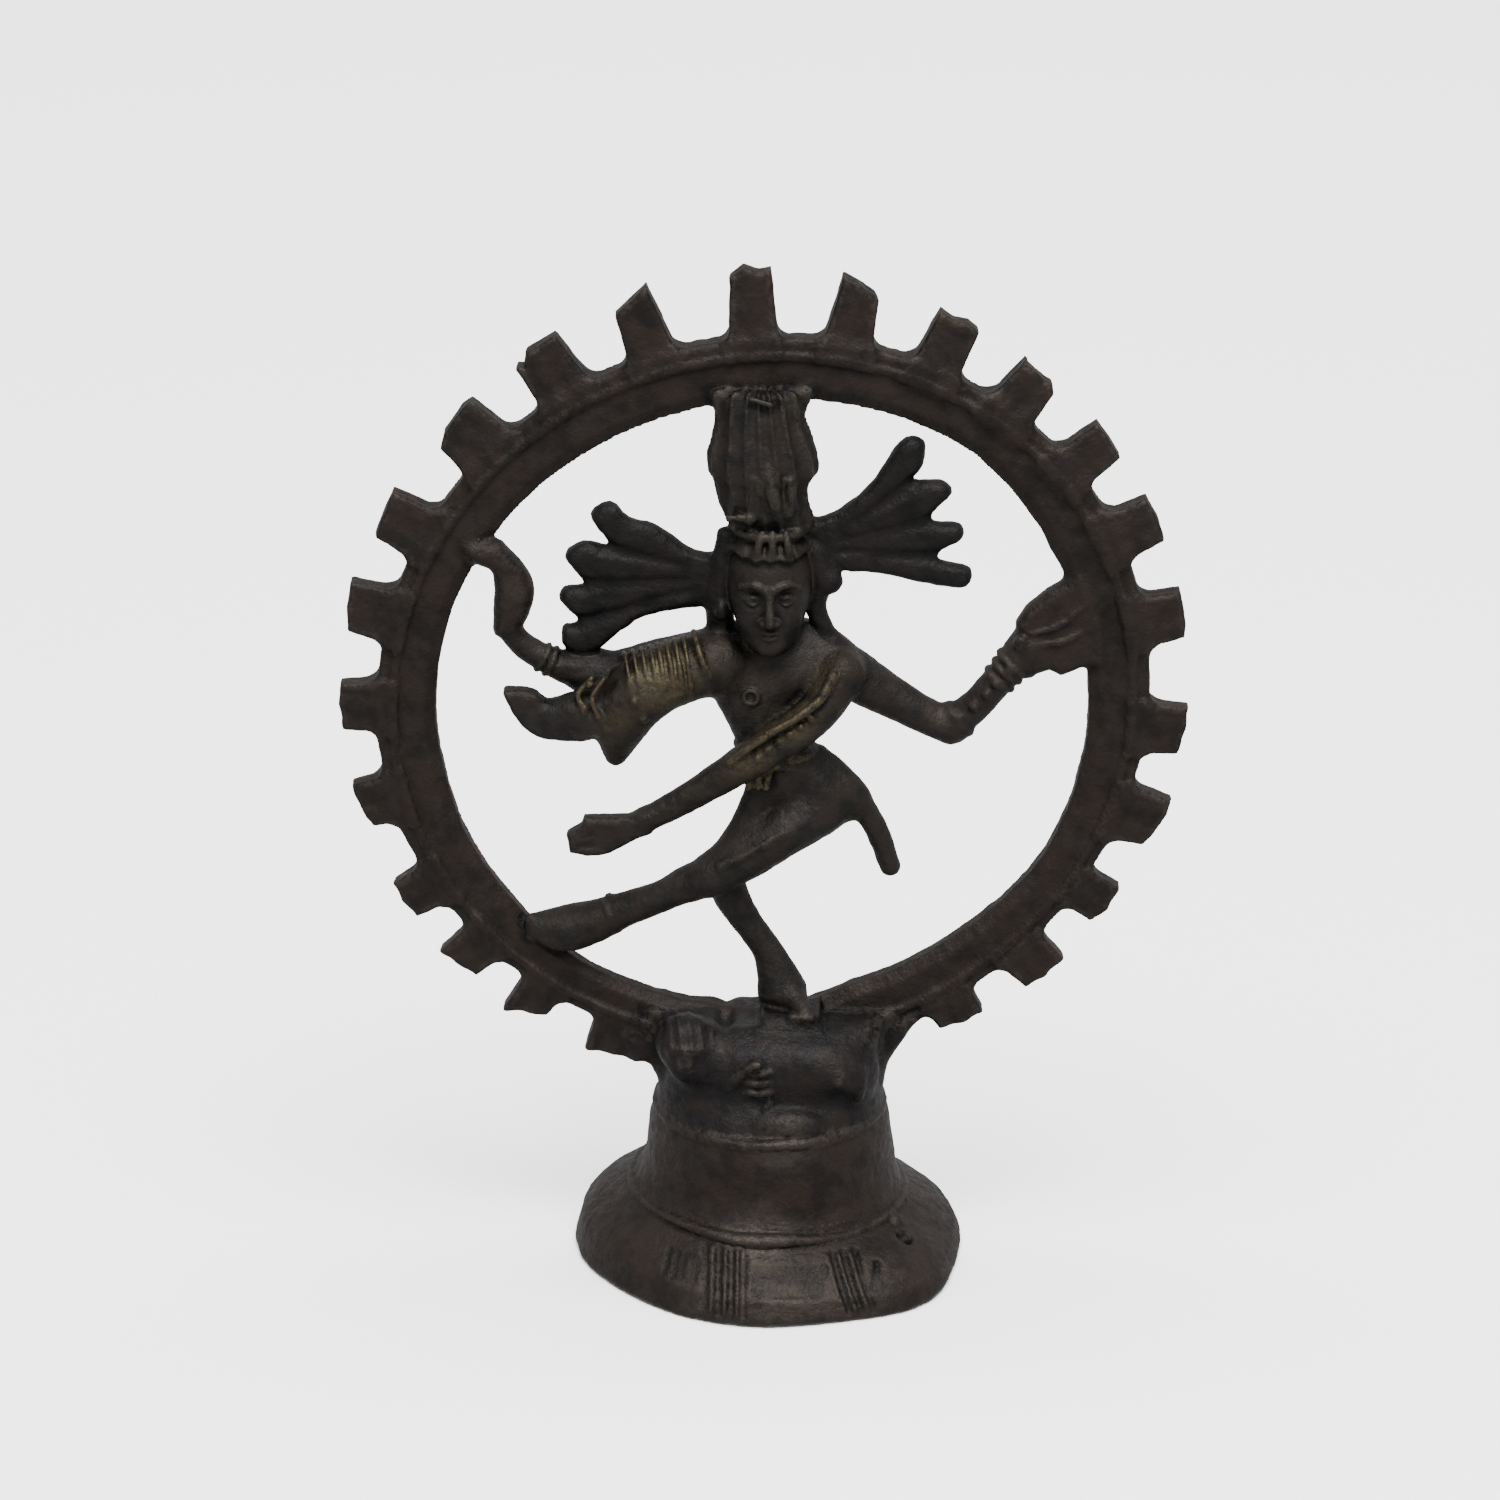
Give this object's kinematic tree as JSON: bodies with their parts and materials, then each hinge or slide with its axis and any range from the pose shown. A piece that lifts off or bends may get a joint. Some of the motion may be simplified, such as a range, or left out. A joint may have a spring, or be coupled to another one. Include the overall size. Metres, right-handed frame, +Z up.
{
  "type": "nataraja statue",
  "caption": "Small cast metal statue of a dancing four-armed figure standing on a dwarf inside a ring of stub flames, on a round stepped pedestal with a hollow foot.",
  "frame": {"origin": "middle of the foot rim, on the surface that the statue stands on", "axes": "+Z up, the figure faces -Y, the ring of flames lies in the XZ plane with +X to the right of a viewer in front"},
  "size_m": [0.1004, 0.0468, 0.126],
  "materials": {
    "patina_red_brown": "dark reddish brown patina over rough cast brass, slightly glossy, rubbed brighter on raised edges",
    "patina_grey_brown": "dark grey-green brown patina over rough cast brass, slightly glossy",
    "rubbed_brass": "dark patina rubbed through to yellow brass on ridges"
  },
  "bodies": {
    "root": {"foot": "patina_red_brown", "foot_bead": "patina_red_brown", "drum": "patina_red_brown", "drum_bead": "patina_red_brown", "dwarf_bed": "patina_red_brown", "dwarf_body": "patina_red_brown", "dwarf_head": "patina_red_brown", "dwarf_arm": "patina_red_brown", "dwarf_legs": "patina_red_brown", "aureole_ring": "patina_red_brown", "flame_01": "patina_red_brown", "flame_02": "patina_red_brown", "flame_03": "patina_red_brown", "flame_04": "patina_red_brown", "flame_05": "patina_red_brown", "flame_06": "patina_red_brown", "flame_07": "patina_red_brown", "flame_08": "patina_red_brown", "flame_09": "patina_red_brown", "flame_10": "patina_red_brown", "flame_11": "patina_red_brown", "flame_12": "patina_red_brown", "flame_13": "patina_red_brown", "flame_14": "patina_red_brown", "flame_15": "patina_red_brown", "flame_16": "patina_red_brown", "flame_17": "patina_red_brown", "flame_18": "patina_red_brown", "flame_19": "patina_red_brown", "flame_20": "patina_red_brown", "flame_21": "patina_red_brown", "flame_22": "patina_red_brown", "flame_23": "patina_red_brown", "damaru": "patina_red_brown", "agni_flame": "patina_red_brown", "right_front_upper_arm": "rubbed_brass", "right_armlets": "rubbed_brass", "waist_belt": "rubbed_brass", "left_front_arm": "rubbed_brass", "foot_block": "patina_grey_brown", "standing_leg": "patina_grey_brown", "hips": "patina_grey_brown", "sash_end": "patina_grey_brown", "raised_thigh": "patina_grey_brown", "raised_shin": "patina_grey_brown", "torso": "patina_grey_brown", "pendant": "patina_grey_brown", "head": "patina_grey_brown", "crown": "patina_grey_brown", "hair_fan_right": "patina_grey_brown", "hair_fan_left": "patina_grey_brown", "right_earring": "patina_grey_brown", "left_earring": "patina_grey_brown", "right_rear_upper_arm": "patina_grey_brown", "right_rear_forearm": "patina_grey_brown", "right_front_hand": "patina_grey_brown", "left_rear_upper_arm": "patina_grey_brown", "left_rear_forearm": "patina_grey_brown", "left_front_hand": "patina_grey_brown"}
  },
  "joints": []
}
